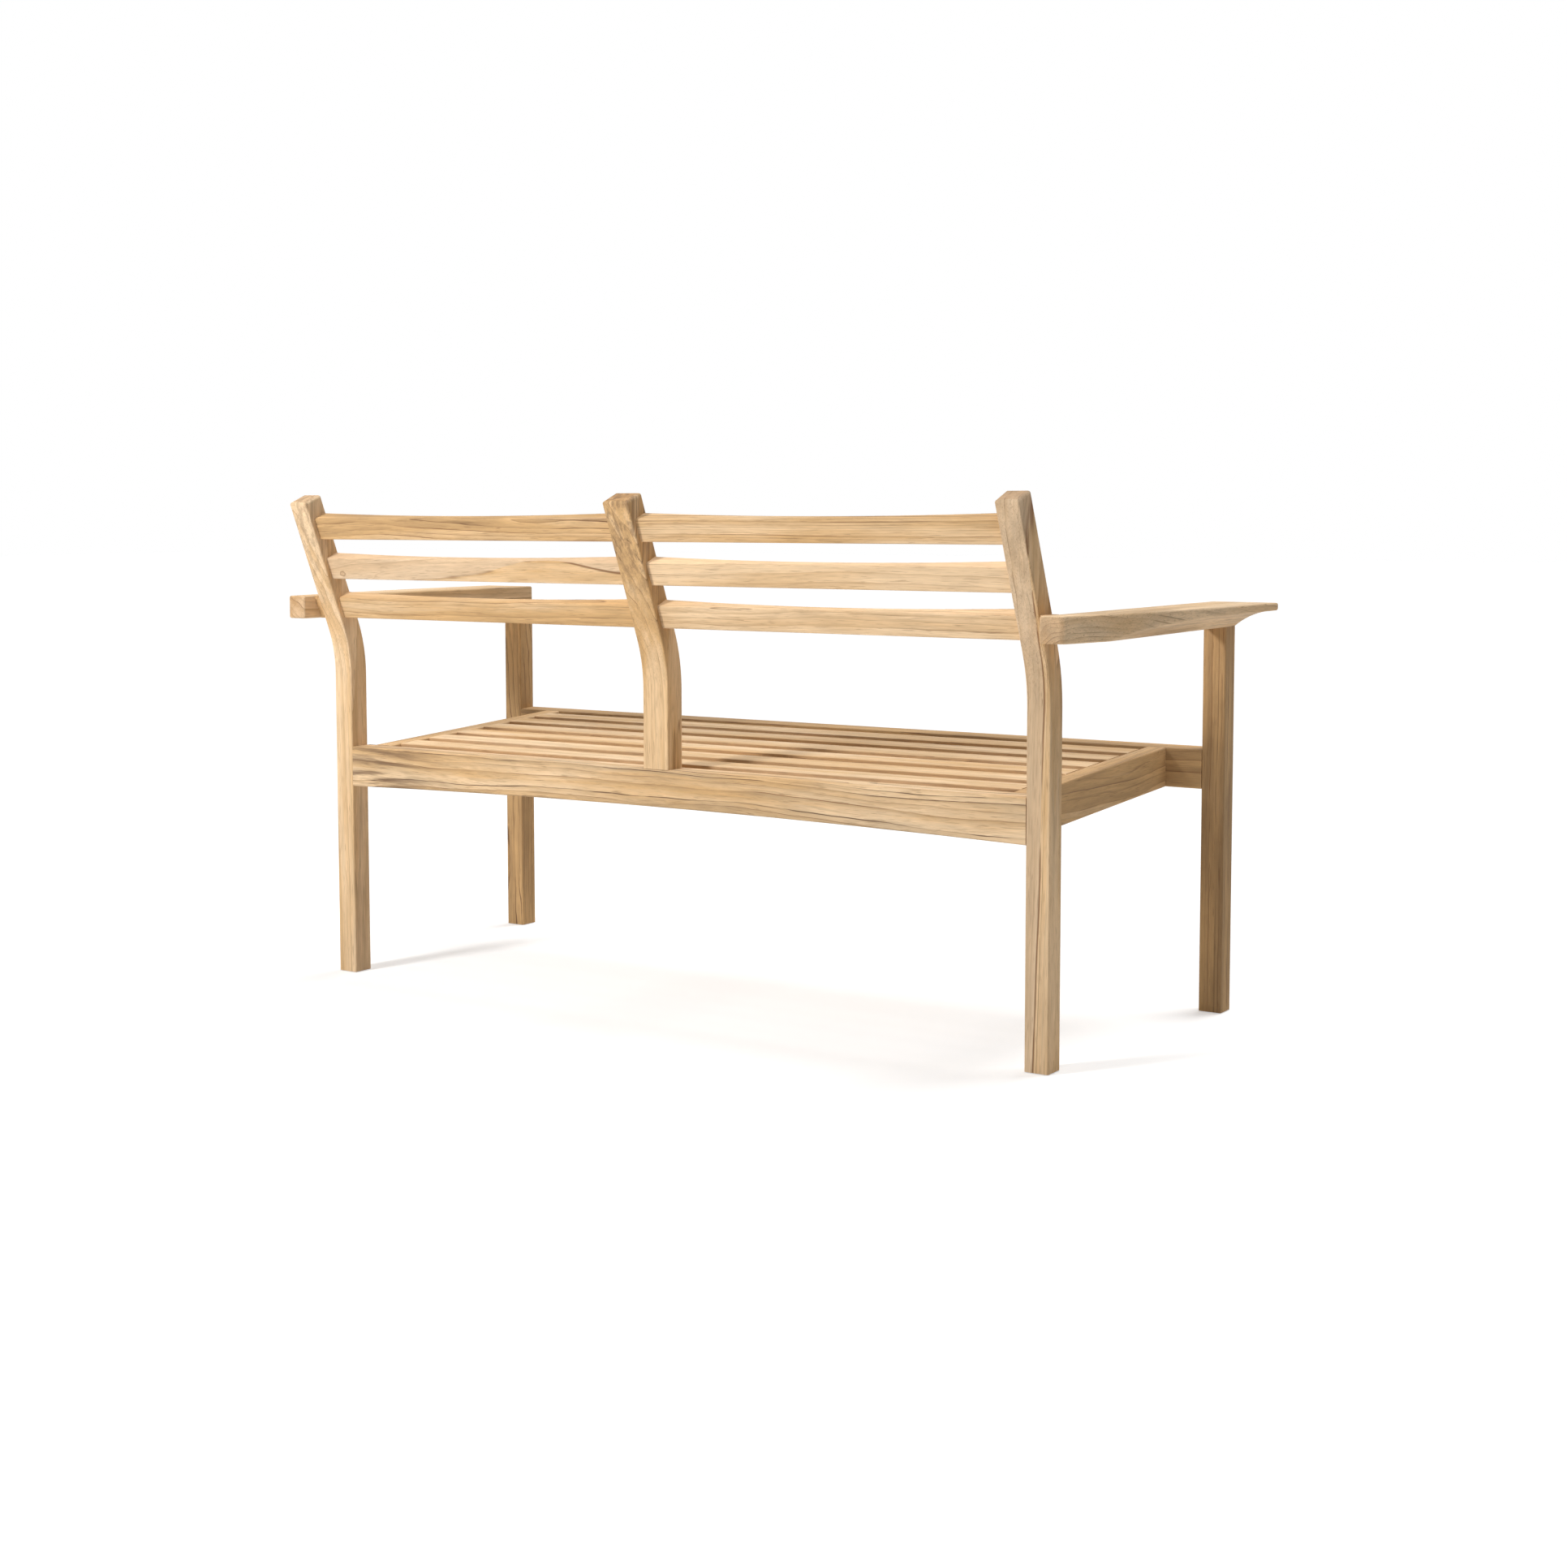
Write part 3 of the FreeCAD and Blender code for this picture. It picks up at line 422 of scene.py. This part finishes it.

# Dark ends, painted shade on the sides and a painted highlight on the edges. The limits are cosines: of a
# surface's angle to the grain, to the vertical, and between its rounded and its true normal
END_LIMITS = (0.55, 0.95)
END_DARKENING = 0.35
SIDE_SHADE_LIMITS = (0.5, 0.97)
EDGE_WIDTH = 2.2 * MM
EDGE_SAMPLES = 4
EDGE_LIMITS = (0.80, 0.995)
EDGE_HIGHLIGHT = 0.12

KNOT_SIZE = 5.5 * MM
KNOT_FLATNESS = 0.7
KNOT_CORE = 0.3 * KNOT_SIZE
KNOT_CORE_SHARE = 0.5
KNOT_RIM = 2 * MM
KNOT_RIM_SHARE = 0.6
KNOT_WOBBLES = Noise(160, 160, 2)
KNOT_WOBBLE = 5 * MM


def middle_of(node):
    low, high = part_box(node)
    return (low + high) / 2


def log_frame(node, board):
    """The place of the pith and the way the log lies, for one board."""
    pith = middle_of(node)
    lie = LIE_ALONG[board.axis]
    for direction, offset, angle in zip(ACROSS[board.axis], board.pith, board.slant):
        pith[direction] += offset * MM
        lie = turn(angle, "XYZ"[direction]) @ lie
    return pith, lie.to_euler()


def away_along(g, place, centre):
    """How far a place is, along the log, from one that is given in millimetres."""
    along = g.vector("DOT_PRODUCT", place, UP)
    return g.math("ABSOLUTE", g.math("SUBTRACT", along, centre * MM))


def add_grain(g, teak, place, board, number):
    """The board's own grain, at a place in its log."""
    heart = board.heart * MM
    if board.swell:
        centre, reach, height = board.swell
        heart = g.ease(away_along(g, place, centre), (0.0, reach * MM), heart + height * MM, heart)
    stain = 0.0
    if board.stain:
        centre, reach, strength = board.stain
        limits = (STAIN_CORE * reach * MM, reach * MM)
        stain = g.ease(away_along(g, place, centre), limits, strength, 0.0)
    inputs = {
        "Place": g.vector("ADD", place, (0.0, 0.0, GRAIN_OFFSET * number)), "Ring": board.ring * MM,
        "Figure": board.figure, "Lines": board.lines, "Veins": board.veins, "Warmth": board.warmth,
        "Grey": board.grey, "Heart": heart, "Stain": stain,
    }
    return g.add("ShaderNodeGroup", inputs, node_tree=teak).outputs


def draw_knot(g, place, centre, colour):
    """A small knot, wider than it is high, with a dark rim."""
    away = g.vector("MULTIPLY", g.vector("SUBTRACT", place, centre), (KNOT_FLATNESS, 0.0, 1.0))
    away = g.math("MULTIPLY_ADD", g.noise(place, KNOT_WOBBLES), KNOT_WOBBLE, g.vector("LENGTH", away))
    core = g.ease(away, (KNOT_CORE, KNOT_SIZE), KNOT_CORE_SHARE, 0.0)
    from_rim = g.math("ABSOLUTE", g.math("SUBTRACT", away, KNOT_SIZE))
    rim = g.ease(from_rim, (0.0, KNOT_RIM), KNOT_RIM_SHARE, 0.0)
    return g.mix(rim, g.mix(core, colour, LATE), LINE)


def paint_edge_highlight(g, colour):
    """Rounded edges are painted a little paler: a painted highlight along them."""
    bevel = g.add("ShaderNodeBevel", {"Radius": EDGE_WIDTH}, samples=EDGE_SAMPLES).outputs["Normal"]
    true_normal = g.add("ShaderNodeNewGeometry").outputs["True Normal"]
    edge = g.ease(g.vector("DOT_PRODUCT", bevel, true_normal), EDGE_LIMITS, EDGE_HIGHLIGHT, 0.0)
    return g.mix(edge, colour, PALE)


def make_board_material(node, board, number, teak):
    material, g, surface = new_material(f"teak_{node}")
    coordinates = g.add("ShaderNodeTexCoord").outputs
    pith, lie = log_frame(node, board)
    inputs = {"Vector": coordinates["Object"], "Location": pith, "Rotation": lie}
    place = g.add("ShaderNodeMapping", inputs, vector_type="TEXTURE").outputs["Vector"]
    grain = add_grain(g, teak, place, board, number)

    # End grain is darker. The sides of the seat slats get painted shade, darker than their tops
    along = Vector(UP)
    along.rotate(lie)
    end = g.ease(g.facing(coordinates["Normal"], along), END_LIMITS, 0.0, END_DARKENING)
    colour = g.mix(end, grain["Colour"], LATE, "MULTIPLY")
    if board.knot:
        across, height = board.knot
        centre = middle_of(node) + Vector((across, 0, height)) * MM
        colour = draw_knot(g, coordinates["Object"], centre, colour)
    # Painted shade: the sides of the seat slats are painted darker than their tops, for the shade between
    # the slats
    if board.sides:
        side_shade = g.ease(g.facing(coordinates["Normal"], UP), SIDE_SHADE_LIMITS, board.sides, 0.0)
        colour = g.mix(side_shade, colour, LATE, "MULTIPLY")

    g.feed(surface["Base Color"], paint_edge_highlight(g, colour))
    g.feed(surface["Roughness"], g.spread(grain["Late"], EARLY_ROUGHNESS, LATE_ROUGHNESS))
    surface["Specular IOR Level"].default_value = WOOD_SPECULAR
    add_relief(g, surface, grain["Relief"], GRAIN_DEPTH, GRAIN_STRENGTH)
    return material


# Black moulded plastic with a fine matt skin, scuffed paler in spots
PLASTIC = linear(34, 33, 32)
SCUFFED_PLASTIC = linear(70, 68, 66)
SCUFFS = Noise(260, 260, 4)
SCUFF_LIMITS = (0.5, 0.75)
PLASTIC_SMOOTH, PLASTIC_ROUGH = 0.42, 0.68
SKIN = Noise(3000, 3000, 2)
SKIN_DEPTH = 0.05 * MM
SKIN_STRENGTH = 0.4


def make_plastic():
    material, g, surface = new_material("moulded_plastic")
    place = g.add("ShaderNodeTexCoord").outputs["Object"]
    scuff = g.noise(place, SCUFFS)
    g.feed(surface["Base Color"], g.mix(g.ease(scuff, SCUFF_LIMITS), PLASTIC, SCUFFED_PLASTIC))
    g.feed(surface["Roughness"], g.spread(scuff, PLASTIC_SMOOTH, PLASTIC_ROUGH))
    add_relief(g, surface, g.noise(place, SKIN), SKIN_DEPTH, SKIN_STRENGTH)
    return material


# Plain stainless steel with fine turning marks
DARK_STEEL = linear(196, 196, 194)
BRIGHT_STEEL = linear(222, 221, 218)
STEEL_SMOOTH, STEEL_ROUGH = 0.24, 0.44
TURNING_MARKS = Noise(900, 9000, 2)
MARK_DEPTH = 0.02 * MM
MARK_STRENGTH = 0.3


def make_steel():
    material, g, surface = new_material("stainless_steel")
    marks = g.noise(g.add("ShaderNodeTexCoord").outputs["Object"], TURNING_MARKS)
    g.feed(surface["Base Color"], g.mix(marks, DARK_STEEL, BRIGHT_STEEL))
    surface["Metallic"].default_value = 1.0
    g.feed(surface["Roughness"], g.spread(marks, STEEL_SMOOTH, STEEL_ROUGH))
    add_relief(g, surface, marks, MARK_DEPTH, MARK_STRENGTH)
    return material


def coat(node, material):
    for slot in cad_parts[node].material_slots:
        slot.material = material


def dress_nodes():
    teak = make_teak()
    for number, (node, board) in enumerate(BOARDS.items()):
        coat(node, make_board_material(node, board, number, teak))
    plastic = make_plastic()
    steel = make_steel()
    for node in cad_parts:
        if node.startswith("foot_glide"):
            coat(node, plastic)
        elif node in ("slat_screws", "glide_nails"):
            coat(node, steel)


# Studio: a white floor without edges, a key lamp behind the sofa to its left, and soft light from above
FLOOR_SIZE = 60
FLOOR_PAINT = (0.75, 0.75, 0.75, 1.0)
FLOOR_GLOW = 0.44
WHITE = (1.0, 1.0, 1.0, 1.0)
AMBIENT = 0.19
BACKDROP = 1.0

KEY_PLACE = (1.1, 2.7, 2.1)
KEY_AIM = (0, 0.1, 0.42)
KEY_SIZE = 0.6
KEY_POWER = 76
TOP_PLACE = (-0.8, -2.5, 6.0)
TOP_AIM = (0, 0, 0.4)
TOP_SPREAD = 30
TOP_STRENGTH = 2.05


def seen_directly(g):
    """One for what the camera sees straight, in a mirror or through glass."""
    path = g.add("ShaderNodeLightPath").outputs
    seen = g.math("MAXIMUM", path["Is Camera Ray"], path["Is Glossy Ray"])
    return g.math("MAXIMUM", seen, path["Is Transmission Ray"])


def make_floor():
    mesh = bpy.data.meshes.new("floor")
    half = FLOOR_SIZE / 2
    corners = [(-half, -half, 0), (half, -half, 0), (half, half, 0), (-half, half, 0)]
    mesh.from_pydata(corners, [], [(0, 1, 2, 3)])
    floor = add_object("floor", mesh)
    material = bpy.data.materials.new("white_floor")
    material.use_nodes = True
    tree = material.node_tree
    tree.nodes.clear()
    g = Graph(tree)
    paint = g.add("ShaderNodeBsdfDiffuse", {"Color": FLOOR_PAINT}).outputs[0]
    strength = g.math("MULTIPLY", seen_directly(g), FLOOR_GLOW)
    glow = g.add("ShaderNodeEmission", {"Strength": strength}).outputs[0]
    both = g.add("ShaderNodeAddShader", {0: paint, 1: glow}).outputs[0]
    g.add("ShaderNodeOutputMaterial", {"Surface": both})
    mesh.materials.append(material)


def make_world():
    world = bpy.data.worlds.new("studio")
    bpy.context.scene.world = world
    world.use_nodes = True
    g = Graph(world.node_tree)
    background = world.node_tree.nodes["Background"].inputs
    background["Color"].default_value = WHITE
    g.feed(background["Strength"], g.spread(seen_directly(g), AMBIENT, BACKDROP))


def add_lamp(data, place, aim):
    lamp = add_object(data.name, data)
    lamp.location = place
    lamp.rotation_euler = (Vector(aim) - Vector(place)).to_track_quat("-Z", "Y").to_euler()


def make_lamps():
    key = bpy.data.lights.new("key", "AREA")
    key.shape = "DISK"
    key.size = KEY_SIZE
    key.energy = KEY_POWER
    add_lamp(key, KEY_PLACE, KEY_AIM)
    top = bpy.data.lights.new("top", "SUN")
    top.angle = math.radians(TOP_SPREAD)
    top.energy = TOP_STRENGTH
    add_lamp(top, TOP_PLACE, TOP_AIM)


make_camera()
dress_nodes()
make_floor()
make_world()
make_lamps()
bpy.context.scene.view_settings.view_transform = "Standard"
